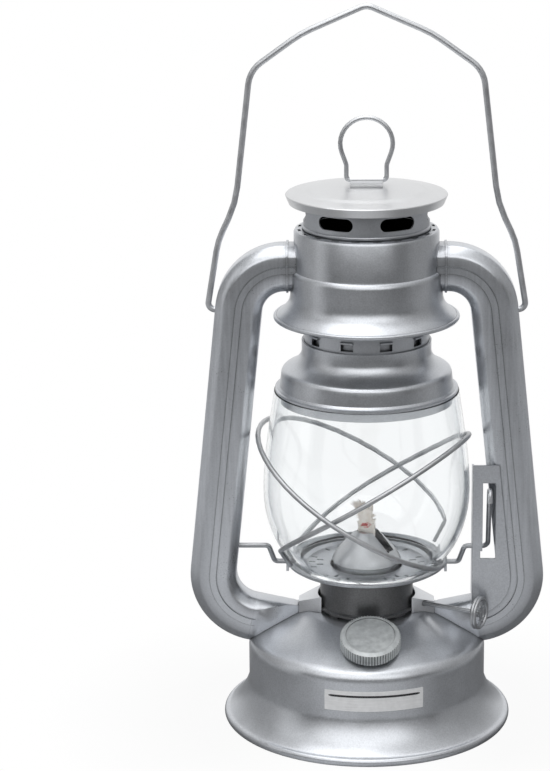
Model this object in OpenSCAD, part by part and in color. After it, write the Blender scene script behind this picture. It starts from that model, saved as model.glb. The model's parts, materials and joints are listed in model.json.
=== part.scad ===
// Hurricane lantern: tank, side tubes, canopy, sliding chimney, lifting globe.
// Frame: +Z up, the ground is z = 0, the filler cap faces -Y. Millimetres.

/* [Fount] */
// radius over the rolled base rim
base_r = 56.5; // [54:0.5:62]
// radius of the straight tank wall
fount_r = 46.5; // [44:0.5:49]
// height where the cove ends and the straight wall begins
cove_z = 16; // [13:0.5:19]
// height of the shoulder between wall and dome
shoulder_z = 31; // [29:0.5:33]
// height of the flat top of the tank
fount_top_z = 44; // [42:0.5:47]
// radius of the flat top of the tank
fount_flat_r = 23; // [21.5:0.5:25]
// thickness of all formed sheet
sheet_t = 0.8; // [0.5:0.1:1]
// radius of the rolled bead at the base
bead_r = 1.7; // [1.3:0.1:2]

/* [Filler] */
// sideways place of the filler
filler_x = 1.5; // [-3:0.5:3]
// how far in front of the axis the filler stands on the dome
filler_y = 32.2; // [31:0.2:33.5]
// forward tilt of the filler axis
filler_tilt = 22.5; // [18:0.5:26]
// outer radius of the filler cap
filler_cap_r = 11.7; // [10:0.1:12.2]
// height of the filler cap
filler_cap_h = 5.8; // [5.4:0.1:8]
// number of teeth on the rim of the filler cap
filler_teeth = 64; // [24:2:72]

/* [Burner] */
// radius of the burner neck under the globe plate
neck_r = 18.2; // [17.6:0.1:19]
// height of the burner neck
neck_h = 15; // [13:0.5:16]
// gap under the lip of the burner neck
neck_gap = 0.9; // [0.7:0.1:2.4]
// radius of the burner body
burner_r = 13.2; // [12.6:0.1:13.8]
// height of the slotted burner cone
cone_h = 11.8; // [10:0.2:14]
// turn of the burner about the vertical, thumb wheel towards the viewer
burner_yaw = -27; // [-40:1:-20]
// width of the flat wick
wick_w = 8; // [6:0.5:10]
// thickness of the flat wick
wick_t = 2; // [1.6:0.1:2.4]
// height of the wick above the burner cone
wick_up = 11.8; // [3:0.2:14]
// distance from the wick to the thumb wheel
wheel_reach = 46; // [44:0.5:50]
// outer radius of the thumb wheel
wheel_r = 6.5; // [5.5:0.1:7]
// diameter of the wick shaft
shaft_d = 1.8; // [1.5:0.1:2]

/* [Globe] */
// outer radius of the globe plate
plate_r = 31.1; // [30:0.1:32.5]
// clear height between the burner neck and the globe plate
plate_gap = 1.3; // [1:0.1:2]
// outer radius of the globe at its foot
globe_foot_r = 27.8; // [27:0.1:28.6]
// largest outer radius of the globe
globe_r = 40.2; // [38:0.1:40.6]
// outer radius of the globe at its top
globe_top_r = 35.7; // [34.5:0.1:36.5]
// height of the globe
globe_h = 70; // [66:0.5:74]
// thickness of the glass
glass_t = 2; // [1.5:0.1:2.5]
// diameter of the guard wires
guard_d = 2; // [1.6:0.1:2.2]
// height of the guard wires above the globe plate at the high side
guard_h = 55.5; // [48:0.5:58]

/* [Lift] */
// diameter of the lift wires
lift_d = 2; // [1.6:0.1:2.2]
// crank radius of the lift wires
crank_r = 9.5; // [9:0.1:10]
// how far below level the crank stands at rest
crank_angle = 60; // [57:1:63]
// length of the lift lever above its pivot
lever_h = 25.5; // [23:0.5:28]
// height of the lever bracket above the lever pivot
bracket_up = 35.5; // [33:0.5:37]

/* [Tubes] */
// width of a side tube in the plane of the lantern
tube_w = 18; // [17:0.2:18.6]
// depth of a side tube from front to back
tube_d = 15; // [14:0.2:16]
// width of the raised rib on each tube
rib_w = 2.6; // [2:0.1:3.2]
// height of the raised rib on each tube
rib_h = 0.6; // [0.3:0.1:0.8]
// sideways place of the upper bend centre
upper_x = 31.4; // [30.6:0.2:33]
// centreline radius of the upper bend
upper_bend_r = 17.5; // [16:0.5:19]
// sideways place of the lower bend centre
lower_x = 41.3; // [40.5:0.2:43]
// centreline radius of the lower bend
lower_bend_r = 18.8; // [18:0.2:20]

/* [Canopy] */
// height from the globe cap to the bell lip of the canopy
canopy_gap = 28.3; // [27:0.5:32]
// radius of the bell lip
bell_r = 35.7; // [35:0.1:37]
// radius of the lower drum
drum_r = 29.2; // [28.8:0.1:30]
// radius of the upper drum
upper_drum_r = 27.7; // [27.5:0.1:28.2]
// height of the canopy
canopy_h = 35; // [34:0.5:37]

/* [Chimney] */
// outer radius of the chimney tube
chimney_r = 24; // [23.4:0.1:24.2]
// height of the globe cap from its lip to the chimney tube
globe_cap_h = 15.4; // [14:0.2:17]
// clear height between the canopy and the hood cap
vent_h = 10; // [9.2:0.1:12]
// radius of the hood cap
hood_r = 30.8; // [29:0.1:33]
// height of the rim of the hood cap
hood_rim_h = 3.2; // [2.6:0.1:4]
// rise of the hood cap above its rim
hood_rise = 3.2; // [2.6:0.1:5]
// how far the chimney may be pulled up at most
chimney_travel = 20; // [18:0.5:20]

/* [Wires] */
// diameter of the bail wire
bail_d = 2.4; // [2:0.1:2.6]
// height of the bail above its pivots
bail_h = 116.5; // [110:0.5:125]
// half width of the bail at its feet
bail_foot_x = 61; // [60.8:0.1:62.5]
// diameter of the wire of the lift ring
ring_d = 1.8; // [1.4:0.1:2]
// centreline radius of the lift ring
ring_r = 9.9; // [9:0.1:11]
// half width between the legs of the lift ring
ring_leg_x = 7.6; // [7:0.1:8]
// height of the lift ring centre above its pivot
ring_h = 13.9; // [12.8:0.1:16]

/* [Fits] */
// clear gap between pieces that are fixed together
fit_gap = 0.12; // [0.1:0.01:0.16]
// clear gap round pieces that turn in a hole
turn_gap = 0.08; // [0.06:0.01:0.1]
// clear gap between pieces that move past each other
run_gap = 0.3; // [0.25:0.01:0.4]

/* [Hidden] */
$fn = 64;

// length of the solids that only cut
far = 2 * bail_h;

// heights, one stacked on the other
neck_z0 = fount_top_z + neck_gap;
neck_z1 = neck_z0 + neck_h;
plate_z0 = neck_z1 + plate_gap;
seat_rise = 2;
seat_z = plate_z0 + seat_rise;
globe_z0 = seat_z + fit_gap;
globe_z1 = globe_z0 + globe_h;
globe_cap_z0 = globe_z1 + run_gap;
canopy_z0 = globe_cap_z0 + canopy_gap;
canopy_z1 = canopy_z0 + canopy_h;
tube_top_z = canopy_z0 + 20;
hood_z0 = canopy_z1 + vent_h;
hood_z1 = hood_z0 + hood_rim_h;
hood_z2 = hood_z1 + hood_rise;
run_z = fount_top_z - 4.2;
upper_z = tube_top_z - upper_bend_r;
lower_z = run_z + lower_bend_r;
journal_z = plate_z0 + 0.1;
pivot_z = journal_z + crank_r * sin(crank_angle);
journal_y = crank_r * cos(crank_angle);

// side tubes
lean = atan2(lower_x - upper_x, upper_z - lower_z)
  + asin((lower_bend_r - upper_bend_r) / norm([lower_x - upper_x, upper_z - lower_z]));
droop = 12;
leg_top = [upper_x + upper_bend_r * cos(lean), upper_z + upper_bend_r * sin(lean)];
leg_foot = [lower_x + lower_bend_r * cos(lean), lower_z + lower_bend_r * sin(lean)];
function leg_x(z) = leg_top[0] + (leg_top[1] - z) * tan(lean);
tube_half = tube_w / 2;
tube_edge = tube_half / cos(lean);
tube_tip_x = 25;
tube_tip_y = 2.2;
tube_inner_end_x = upper_drum_r - sheet_t - 0.3;

// lift ring, bail and lever
bail_z = upper_z + 0.6;
bail_pin_x = leg_x(bail_z) + tube_edge - 4.5;
ring_z = hood_z2 + sheet_t + 1.3;
lever_x = 47.5;
bracket_x = globe_r + 0.9;
bracket_y = -tube_d / 2 - fit_gap;
link_x0 = 36.2;
link_x1 = 38.4;

// burner
collar_z1 = fount_top_z + 2;
burner_z0 = fount_top_z - 4;
burner_z1 = plate_z0 + 2.5;
cone_z0 = burner_z1 + run_gap + 0.1;
shaft_z = fount_top_z + 3.4;
spur_r = 4.8;
shaft_y = wick_t / 2 + fit_gap + spur_r;
wick_top_z = cone_z0 + cone_h + wick_up;
wick_foot_z = 22;
wick_tube_wall = 0.6;
cone_slot = 1.62 * burner_r;

// curves
function bez3(a, b, c, t) = (1 - t) * (1 - t) * a + 2 * t * (1 - t) * b + t * t * c;
function bez4(a, b, c, d, t) = pow(1 - t, 3) * a + 3 * t * pow(1 - t, 2) * b
  + 3 * t * t * (1 - t) * c + t * t * t * d;
function unit(v) = v / norm(v);
function last(l) = l[len(l) - 1];
function reversed(l) = [for (i = [len(l) - 1:-1:0]) l[i]];
// a profile moved sideways by t, to the right of its direction
function moved(l, t) = [for (i = [0:len(l) - 1])
  let (a = l[max(i - 1, 0)], b = l[min(i + 1, len(l) - 1)], d = unit(b - a)) l[i] + t * [d[1], -d[0]]];
// closed outline of a sheet of thickness t on the left of a profile
function sheet(l, t) = concat(l, reversed(moved(l, -t)));

// tank profile, outside, from the base rim up to the flat top
cove = [for (i = [0:8]) bez3([base_r - 0.9, 2.6], [base_r - 7.5, 7], [fount_r, cove_z], i / 8)];
dome_edge = [fount_r - 2.6, shoulder_z + 3.2];
dome_top = [fount_flat_r, fount_top_z];
function dome_pt(t) = bez3(dome_edge, [(dome_edge[0] + dome_top[0]) / 2 - 1.5,
  (dome_edge[1] + dome_top[1]) / 2 + 1.2], dome_top, t);
shoulder = [for (i = [0:3]) bez3([fount_r, shoulder_z - 1.5], [fount_r, shoulder_z + 1.7], dome_edge, i / 4)];
dome = [for (i = [0:7]) dome_pt(i / 7)];
// height of the dome at a given radius, along the straight pieces of its profile
function dome_z(r) = let (k = [for (i = [0:6]) if (dome[i][0] >= r && dome[i + 1][0] <= r) i][0],
  a = dome[k], b = dome[k + 1]) a[1] + (b[1] - a[1]) * (a[0] - r) / (a[0] - b[0]);
filler_z = dome_z(filler_y);
fount_outside = concat(cove, shoulder, dome);
fount_hole_r = burner_r + 0.5;

// globe profile, outside, from the foot to the top
belly_z = globe_z0 + 0.438 * globe_h;
function globe_low(t) = bez4([globe_foot_r, globe_z0], [globe_foot_r + 5.8, globe_z0 + 4.8],
  [globe_r, globe_z0 + 0.21 * globe_h], [globe_r, belly_z], t);
function globe_high(t) = bez4([globe_r, belly_z], [globe_r, belly_z + 12],
  [globe_top_r + 1.9, globe_z1 - 12.4], [globe_top_r, globe_z1], t);
globe_outside = concat([for (i = [0:11]) globe_low(i / 12)], [for (i = [0:12]) globe_high(i / 12)]);
// outer radius of the globe at a height
function globe_at(z) = z <= globe_z0 ? globe_foot_r : z >= globe_z1 ? globe_top_r :
  let (k = [for (i = [0:len(globe_outside) - 2])
    if (globe_outside[i][1] <= z && globe_outside[i + 1][1] >= z) i][0],
    a = globe_outside[k], b = globe_outside[k + 1]) a[0] + (b[0] - a[0]) * (z - a[1]) / (b[1] - a[1]);

// tube outline: a chamfered box with a raised rib in front and behind, grown by g
function tube_outline(g) = let (w = tube_w / 2 + g, d = tube_d / 2 + g, a = 3.5,
  q = [[w, d - a - 0.6], [w - 0.35, d - a + 0.35], [w - a + 0.35, d - 0.35], [w - a - 0.6, d]],
  r = rib_w / 2 + g, h = rib_h)
  concat(q, [[r, d], [r, d + h], [-r, d + h], [-r, d]],
    [for (p = reversed(q)) [-p[0], p[1]]], [for (p = q) [-p[0], -p[1]]],
    [[-r, -d], [-r, -d - h], [r, -d - h], [r, -d]],
    [for (p = reversed(q)) [p[0], -p[1]]]);
function tube_bore(g) = let (w = tube_w / 2 - sheet_t + g, d = tube_d / 2 - sheet_t + g, a = 3.5)
  [[w, d - a], [w - a, d], [a - w, d], [-w, d - a], [-w, a - d], [a - w, -d], [w - a, -d], [w, a - d]];

// wall of a tube, thinned on both sides by slim
module tube_face(slim = 0) {
  difference() {
    polygon(tube_outline(-slim));
    polygon(tube_bore(slim));
  }
}

// points of a path through p, bent at each inner point with the radius in r
function bend(p, r, i) = let (a = unit(p[i] - p[i - 1]), b = unit(p[i + 1] - p[i]), turn = acos(a * b),
  cut = r * tan(turn / 2), c = p[i] + unit(b - a) * r / cos(turn / 2), x = unit(p[i] - cut * a - c),
  m = max(2, ceil(turn / 11)))
  [for (j = [0:m]) c + r * (cos(turn * j / m) * x + sin(turn * j / m) * a)];
function bent(p, r) = let (q = concat([p[0]], [for (i = [1:len(p) - 2]) for (v = bend(p, r[i], i)) v], [last(p)]))
  [for (i = [0:len(q) - 1]) if (i == 0 || norm(q[i] - q[i - 1]) > 0.02) q[i]];

// wire of n sides swept through points p, its sides lined up with the directions in o
module swept(p, o, d, n) {
  m = len(p);
  rings = [for (i = [0:m - 1])
    let (t = unit(p[min(i + 1, m - 1)] - p[max(i - 1, 0)]), u = unit(o[i] - (o[i] * t) * t), v = cross(t, u))
    for (k = [0:n - 1]) p[i] + d / 2 * (cos(360 * k / n) * u + sin(360 * k / n) * v)];
  sides = [for (i = [0:m - 2]) for (k = [0:n - 1]) let (j = (k + 1) % n)
    [i * n + k, (i + 1) * n + k, (i + 1) * n + j, i * n + j]];
  polyhedron(rings, concat([[for (k = [0:n - 1]) k]], sides, [[for (k = [n - 1:-1:0]) (m - 1) * n + k]]));
}

// bent wire whose sides line up with one direction o, never along the wire itself
module wire(p, r, d, o) {
  path = bent(p, r);
  swept(path, [for (q = path) o], d, 10);
}

// sweep round the axis, lined up with the direction away from it
module swept_round(p, d, n) {
  swept(p, [for (q = p) [q[0], q[1], 0]], d, n);
}

module fount_solid(g) {
  rotate_extrude()
    polygon(concat([[0, 2.6]], moved(fount_outside, g), [[0, fount_top_z + g]]));
}

module on_filler() {
  translate([filler_x, -filler_y, filler_z])
    rotate([filler_tilt, 0, 0])
      children();
}

module on_burner() {
  rotate([0, 0, burner_yaw])
    children();
}

// tank
module fount_shell() {
  color([0.72, 0.74, 0.76])
    difference() {
      union() {
        rotate_extrude()
          polygon(sheet(concat(fount_outside, [[fount_hole_r, fount_top_z]]), sheet_t));
        intersection() {
          rotate_extrude()
            translate([base_r - bead_r, bead_r - 0.3])
              circle(r = bead_r);
          cylinder(r = base_r + 5, h = 10);
        }
      }
      on_filler()
        translate([0, 0, -6])
          cylinder(r = filler_bore_r + 0.8 + fit_gap, h = 12);
    }
}

function cove_pt(t) = bez3([base_r - 0.9, 2.6], [base_r - 7.5, 7], [fount_r, cove_z], t);
bottom_pt = moved([cove_pt(0.34), cove_pt(0.38), cove_pt(0.42)], -sheet_t - fit_gap)[1];

module fount_bottom() {
  color([0.62, 0.64, 0.66])
    rotate_extrude()
      polygon([[bottom_pt[0], bottom_pt[1]], [bottom_pt[0] - 0.5, bottom_pt[1] + sheet_t],
        [38, bottom_pt[1] + sheet_t], [36, bottom_pt[1] + sheet_t + 1], [0, bottom_pt[1] + sheet_t + 1],
        [0, bottom_pt[1] + 1], [35.6, bottom_pt[1] + 1], [37.6, bottom_pt[1]]]);
}

filler_bore_r = filler_cap_r - 2.8;
filler_neck_h = filler_cap_h - 2.2;
filler_foot = 0.6;

module filler_neck() {
  color([0.6, 0.61, 0.62])
    on_filler()
      difference() {
        translate([0, 0, -3.5])
          cylinder(r = filler_bore_r + 0.8, h = filler_neck_h + 3.5);
        translate([0, 0, -4])
          cylinder(r = filler_bore_r, h = filler_neck_h + 5);
      }
}

module filler_gasket() {
  color([0.1, 0.1, 0.1])
    on_filler()
      difference() {
        translate([0, 0, filler_neck_h + fit_gap])
          cylinder(r = filler_cap_r - 1.6, h = 1.1);
        cylinder(r = filler_bore_r - 2, h = 20);
      }
}

module filler_cap() {
  top = filler_neck_h + fit_gap + 1.1 + fit_gap;
  high = filler_cap_h + 0.1;
  bevel = 0.9;
  color([0.6, 0.62, 0.63])
    on_filler()
      difference() {
        union() {
          translate([0, 0, filler_foot])
            linear_extrude(high - bevel - filler_foot)
              polygon([for (i = [0:2 * filler_teeth - 1]) let (a = 180 * i / filler_teeth,
                r = filler_cap_r - (i % 2 == 0 ? 0 : 0.55)) [r * cos(a), r * sin(a)]]);
          translate([0, 0, high - bevel])
            cylinder(r1 = filler_cap_r - 0.4, r2 = filler_cap_r - 1.5, h = bevel);
        }
        translate([0, 0, filler_foot - 1])
          cylinder(r = filler_cap_r - 1.6 + fit_gap, h = top - filler_foot + 1);
        translate([0, 0, high - 0.3])
          cylinder(r = filler_cap_r - 2.2, h = 2);
      }
}

// burner
module burner_neck() {
  color([0.66, 0.68, 0.7])
    difference() {
      union() {
        rotate_extrude()
          polygon([[neck_r - sheet_t, neck_z0 + 0.4], [neck_r - sheet_t, neck_z1], [neck_r, neck_z1],
            [neck_r, neck_z0 + 1.8], [neck_r + 0.9, neck_z0 + 1.2], [neck_r + 0.9, neck_z0 + 0.4],
            [neck_r + 0.4, neck_z0], [neck_r - 0.3, neck_z0]]);
        for (i = [0:3])
          rotate([0, 0, 45 + 90 * i])
            translate([neck_r - sheet_t, -2.2, fount_top_z + fit_gap])
              cube([sheet_t, 4.4, neck_gap + 1]);
      }
      on_burner()
        translate([0, shaft_y - shaft_d / 2 - 0.7, neck_z0 - 3])
          cube([neck_r + 5, shaft_d + 1.4, shaft_z - neck_z0 + 4.6]);
    }
}

module air_duct(side) {
  x0 = neck_r - 3;
  x1 = tube_tip_x + 1.6;
  w = tube_d / 2;
  tip = tube_tip_y + fit_gap;
  tip_z = fount_top_z + 3.4;
  rise = 3;
  difference() {
    duct_prism(x0, x1, w, tip + sheet_t, tip_z, rise);
    duct_prism(x0 - 1, x1 + 1, w - sheet_t, tip, tip_z - sheet_t, rise);
    cylinder(r = neck_r + 0.9 + fit_gap, h = far);
    fount_solid(fit_gap);
    if (side > 0)
      on_burner()
        translate([0, shaft_y, shaft_z])
          rotate([0, 90, 0])
            cylinder(d = shaft_d + 2 * run_gap, h = far);
  }
}

// block that falls by rise from the neck to x1 and narrows from w to tip on each side
module duct_prism(x0, x1, w, tip, tip_z, rise) {
  low = fount_top_z - 6;
  intersection() {
    translate([0, w, 0])
      rotate([90, 0, 0])
        linear_extrude(2 * w)
          polygon([[x0, low], [x1, low], [x1, tip_z], [neck_r, tip_z + rise], [x0, tip_z + rise]]);
    linear_extrude(far)
      polygon([[x0, -w], [neck_r, -w], [x1, -tip], [x1, tip], [neck_r, w], [x0, w]]);
  }
}

module air_ducts() {
  color([0.8, 0.81, 0.82]) {
    air_duct(1);
    rotate([0, 0, 180])
      air_duct(-1);
  }
}

module burner_collar() {
  color([0.7, 0.68, 0.6])
    difference() {
      translate([0, 0, fount_top_z + fit_gap])
        cylinder(r = neck_r - sheet_t - 0.4, h = collar_z1 - fount_top_z - fit_gap);
      cylinder(r = burner_r + fit_gap, h = far);
    }
}

module burner_body() {
  color([0.7, 0.68, 0.62])
    difference() {
      rotate([0, 0, 100])
        translate([0, 0, burner_z0])
          cylinder(r = burner_r, h = burner_z1 - burner_z0);
      rotate([0, 0, 100])
        translate([0, 0, burner_z0 + sheet_t])
          cylinder(r = burner_r - sheet_t, h = burner_z1 - burner_z0);
      on_burner() {
        translate([-wick_w / 2 - 1.2 - fit_gap, -wick_t / 2 - 1 - fit_gap, 0])
          cube([wick_w + 2.4 + 2 * fit_gap, wick_t + 2 + 2 * fit_gap, 100]);
        translate([0, shaft_y, shaft_z])
          rotate([0, 90, 0])
            cylinder(d = shaft_d + 2 * turn_gap, h = 30);
      }
      for (i = [0:7])
        rotate([0, 0, 45 * i + 32])
          translate([0, 0, fount_top_z + 11.5])
            rotate([0, 90, 0])
              cylinder(r = 1.8, h = 30);
    }
}

module wick_tube() {
  w = wick_w / 2 + run_gap;
  t = wick_t / 2 + run_gap;
  color([0.7, 0.66, 0.55])
    on_burner()
      difference() {
        translate([-w - wick_tube_wall, -t - wick_tube_wall, burner_z0 - 3])
          cube([2 * (w + wick_tube_wall), 2 * (t + wick_tube_wall), cone_z0 + 6 - burner_z0]);
        translate([-w, -t, 0])
          cube([2 * w, 2 * t, far]);
        translate([-3.6, 0, shaft_z - spur_r - run_gap])
          cube([7.2, 10, 2 * (spur_r + run_gap)]);
      }
}

module burner_cone() {
  r = burner_r + 0.5;
  side = [for (i = [0:8]) bez4([r, cone_z0], [r - 1.2, cone_z0 + 0.3 * cone_h],
    [r - 6.2, cone_z0 + 0.7 * cone_h], [0.33 * r, cone_z0 + cone_h], i / 8)];
  color([0.74, 0.73, 0.7])
    difference() {
      rotate_extrude()
        polygon(concat(side, [[0, cone_z0 + cone_h], [0, cone_z0 + cone_h - sheet_t]],
          reversed(moved(side, -sheet_t))));
      on_burner()
        translate([-cone_slot / 2, -wick_t / 2 - 1.4, cone_z0 + 0.32 * cone_h])
          cube([cone_slot, wick_t + 2.8, cone_h]);
    }
}

module wick() {
  color([0.9, 0.87, 0.78])
    on_burner()
      translate([-wick_w / 2, -wick_t / 2, wick_foot_z])
        cube([wick_w, wick_t, wick_top_z - wick_foot_z]);
}

module on_shaft() {
  on_burner()
    translate([0, shaft_y, shaft_z])
      rotate([0, 90, 0])
        children();
}

module wick_shaft() {
  color([0.55, 0.55, 0.55])
    on_shaft()
      translate([0, 0, -7])
        cylinder(d = shaft_d, h = wheel_reach + 8.4);
}

module spur_wheels() {
  color([0.6, 0.55, 0.42])
    on_shaft()
      for (x = [-2.4, 1.4])
        translate([0, 0, x])
          difference() {
            linear_extrude(1)
              polygon([for (i = [0:27]) let (r = i % 2 == 0 ? spur_r : spur_r - 1)
                [r * cos(i * 360 / 28), r * sin(i * 360 / 28)]]);
            translate([0, 0, -1])
              cylinder(d = shaft_d + 2 * fit_gap, h = 4);
          }
}

module thumb_wheel() {
  wire_r = 0.75;
  t = 2.6;
  hub_r = shaft_d / 2 + 0.8;
  spoke = wheel_r - wire_r;
  color([0.5, 0.51, 0.52])
    on_shaft()
      translate([0, 0, wheel_reach - t / 2])
        difference() {
          union() {
            for (z = [wire_r, t - wire_r])
              translate([0, 0, z])
                rotate_extrude()
                  translate([wheel_r - wire_r, 0])
                    circle(r = wire_r);
            translate([0, 0, wire_r])
              difference() {
                cylinder(r = wheel_r - 0.4, h = t - 2 * wire_r);
                translate([0, 0, -1])
                  cylinder(r = wheel_r - 1.1, h = t + 2);
              }
            cylinder(r = hub_r, h = t);
            for (a = [35, 145, 270])
              rotate([0, 0, a])
                translate([hub_r - 0.4, -0.5, t / 2 - 0.5])
                  cube([spoke - hub_r + 0.4, 1, 1]);
          }
          translate([0, 0, -2])
            cylinder(d = shaft_d + 2 * fit_gap, h = t + 4);
        }
}

// foot of a tube of length l, pinched from front to back towards its open tip at the bottom
module foot_wedge(l, tip, root) {
  rotate([90, 0, 90])
    linear_extrude(2 * tube_w, center = true)
      polygon([[-tip, -1], [tip, -1], [tip, 0], [root, l], [-root, l], [-tip, 0]]);
}

module tube_foot(slim, l) {
  root = tube_d / 2 + rib_h - slim;
  difference() {
    intersection() {
      linear_extrude(l)
        polygon(tube_outline(-slim));
      foot_wedge(l, tube_tip_y, root);
    }
    intersection() {
      translate([0, 0, -1])
        linear_extrude(l + 2)
          polygon(tube_bore(slim));
      foot_wedge(l + 1, tube_tip_y - sheet_t, root - rib_h - sheet_t);
    }
  }
}

// side tubes, built on the right, each length set on the end of the one before
module tube_sweep() {
  leg = norm(leg_top - leg_foot);
  top_turn = 90 - lean;
  foot_turn = 90 - droop + lean;
  run_l = (lower_x - tube_tip_x + (lower_bend_r - tube_half) * sin(droop)) / cos(droop);
  slim = 0.02;
  lap = 0.3;
  translate([leg_foot[0], 0, leg_foot[1]])
    rotate([0, -lean, 0]) {
      linear_extrude(leg)
        tube_face();
      translate([-upper_bend_r, 0, leg]) {
        rotate([90, 0, 0])
          rotate_extrude(angle = top_turn)
            translate([upper_bend_r, 0])
              tube_face();
        rotate([0, -top_turn, 0])
          translate([upper_bend_r, 0, -lap])
            linear_extrude(upper_x - tube_inner_end_x + lap)
              tube_face(slim);
      }
      translate([-lower_bend_r, 0, 0]) {
        rotate([-90, 0, 0])
          rotate_extrude(angle = foot_turn)
            translate([lower_bend_r, 0])
              tube_face();
        rotate([0, foot_turn, 0])
          translate([lower_bend_r, 0, -run_l])
            tube_foot(slim, run_l + lap);
      }
    }
}

module tube_cut() {
  difference() {
    tube_sweep();
    fount_solid(fit_gap);
    translate([bail_pin_x - 1, 0, bail_z])
      rotate([0, 90, 0])
        cylinder(d = bail_d + 2 * turn_gap, h = 20);
  }
}

module left_tube() {
  color([0.72, 0.74, 0.76])
    rotate([0, 0, 180])
      difference() {
        tube_cut();
        translate([leg_x(pivot_z) - tube_edge - 5, 0, pivot_z])
          rotate([0, 90, 0])
            cylinder(d = lift_d + 2 * turn_gap, h = 9);
      }
}

module right_tube() {
  color([0.72, 0.74, 0.76])
    tube_cut();
}

module tube_collar() {
  x0 = sqrt(drum_r * drum_r - 16) + fit_gap;
  translate([x0 + 0.7, 0, tube_top_z])
    rotate([90, 0, 90])
      linear_extrude(0.8)
        rotate(90)
          difference() {
            polygon(tube_outline(0.45));
            polygon(tube_outline(fit_gap));
          }
}

module tube_collars() {
  color([0.7, 0.72, 0.74]) {
    tube_collar();
    rotate([0, 0, 180])
      tube_collar();
  }
}

// canopy
module canopy() {
  z = canopy_z0;
  flare = [for (i = [0:7]) bez4([bell_r - 0.6, z + 0.9], [bell_r - 2.6, z + 3.2], [drum_r + 0.6, z + 4.4],
    [drum_r, z + 9], i / 7)];
  side = concat(flare, [[drum_r, z + 17.4], [drum_r - 0.25, z + 18.3], [(drum_r + upper_drum_r) / 2 + 0.1, z + 19],
    [upper_drum_r + 0.2, z + 19.5], [upper_drum_r, z + 20.3], [upper_drum_r, canopy_z1 - 1.2], [upper_drum_r - 0.5, canopy_z1 - 0.3],
    [upper_drum_r - 1.4, canopy_z1], [chimney_r + run_gap + 0.2, canopy_z1]]);
  color([0.72, 0.74, 0.76])
    difference() {
      union() {
        rotate_extrude()
          polygon(sheet(side, sheet_t));
        rotate_extrude()
          translate([bell_r - 0.8, z + 0.8])
            circle(r = 0.8);
      }
      for (m = [0, 1])
        mirror([m, 0, 0])
          translate([10, 0, tube_top_z])
            rotate([90, 0, 90])
              linear_extrude(40)
                rotate(90)
                  polygon(tube_outline(fit_gap));
      for (i = [0:19])
        rotate([0, 0, 18 * i + 9])
          translate([(chimney_r + upper_drum_r) / 2 - 0.6, -1.5, canopy_z1 - 3])
            cube([1, 3, 6]);
    }
}

// lever bracket, soldered to the front of the right tube
module lever_bracket() {
  x0 = bracket_x;
  z1 = pivot_z + bracket_up;
  lap = 5;
  r = lower_bend_r - tube_half + lap;
  edge = [for (i = [0:6]) let (a = -90 + i * (90 + lean) / 6) [lower_x + r * cos(a), lower_z + r * sin(a)]];
  slot = lift_d + 3;
  hole_z = pivot_z - lift_d / 2 - 0.8;
  color([0.6, 0.62, 0.64])
    difference() {
      union() {
        translate([0, bracket_y, 0])
          rotate([90, 0, 0])
            linear_extrude(sheet_t)
              polygon(concat([[x0, edge[0][1] + 1.5]], edge, [[leg_x(z1) - tube_edge + lap, z1], [x0, z1]]));
        translate([x0, bracket_y - 0.1, edge[0][1] + lap + 0.8])
          cube([sheet_t, -bracket_y + 4.5, z1 - edge[0][1] - lap - 4.2]);
      }
      translate([x0 - 1, 0, pivot_z])
        rotate([0, 90, 0])
          cylinder(d = lift_d + 2 * turn_gap, h = 3);
      translate([lever_x - slot / 2, bracket_y - 5, hole_z])
        cube([slot, 10, lever_h + lift_d + 2.6]);
      translate([lever_x - slot / 2 - 0.8, bracket_y - 5, hole_z - 0.6])
        cube([slot + 0.8, 10, 3]);
    }
}

// globe and what it stands on
module plate_ear() {
  x = plate_r + 0.1;
  tab_x = globe_foot_r + 1.7;
  y0 = journal_y - lift_d / 2 - 0.35;
  y1 = crank_r + lift_d / 2 + 0.35;
  z0 = journal_z - lift_d / 2 - 1.1;
  z1 = journal_z + lift_d / 2 + 0.3;
  difference() {
    union() {
      translate([x - 0.6, y0 - 1.2, z0 - 1.2])
        cube([1, y1 - y0 + 2.4, seat_z + 0.8 - z0 + 1.2]);
      translate([tab_x, y0 - 1.2, seat_z + 0.2])
        cube([x - tab_x, y1 - y0 + 0.4, 0.6]);
    }
    translate([x - lift_d, y0, z0])
      cube([2 * lift_d, y1 - y0, z1 - z0]);
  }
}

module globe_plate() {
  z = plate_z0;
  in_r = burner_r + 0.5 + 0.7;
  seat_r = globe_foot_r - glass_t - 0.6;
  color([0.7, 0.72, 0.74]) {
    difference() {
      rotate_extrude()
        polygon([[in_r, z], [seat_r - 0.9, z], [seat_r + 0.3, seat_z - sheet_t], [globe_foot_r + 1.7, seat_z - sheet_t],
          [plate_r - 0.8, seat_z + 0.2], [plate_r, seat_z + 0.2], [plate_r, seat_z + 1], [plate_r - 1, seat_z + 1],
          [globe_foot_r + 1.4, seat_z], [seat_r, seat_z], [seat_r - 1.2, z + sheet_t], [in_r, z + sheet_t]]);
      for (g = [0:5])
        for (k = [-2:2])
          rotate([0, 0, 60 * g + 8 * k])
            translate([seat_r - (k % 2 == 0 ? 4.6 : 7.8), -0.55, z - 1])
              cube([2.6, 1.1, 5]);
    }
    plate_ear();
    mirror([1, 0, 0])
      plate_ear();
  }
}

module globe() {
  color([0.8, 0.9, 0.9, 0.3])
    rotate_extrude()
      polygon(sheet(globe_outside, glass_t));
}

// guard wire: a sloping loop round the globe, its feet on the rim of the globe plate
guard_foot_r = plate_r + 0.6;
guard_low_z = seat_z + 1 + sqrt(pow(guard_d / 2 + fit_gap, 2) - 0.36);
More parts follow.
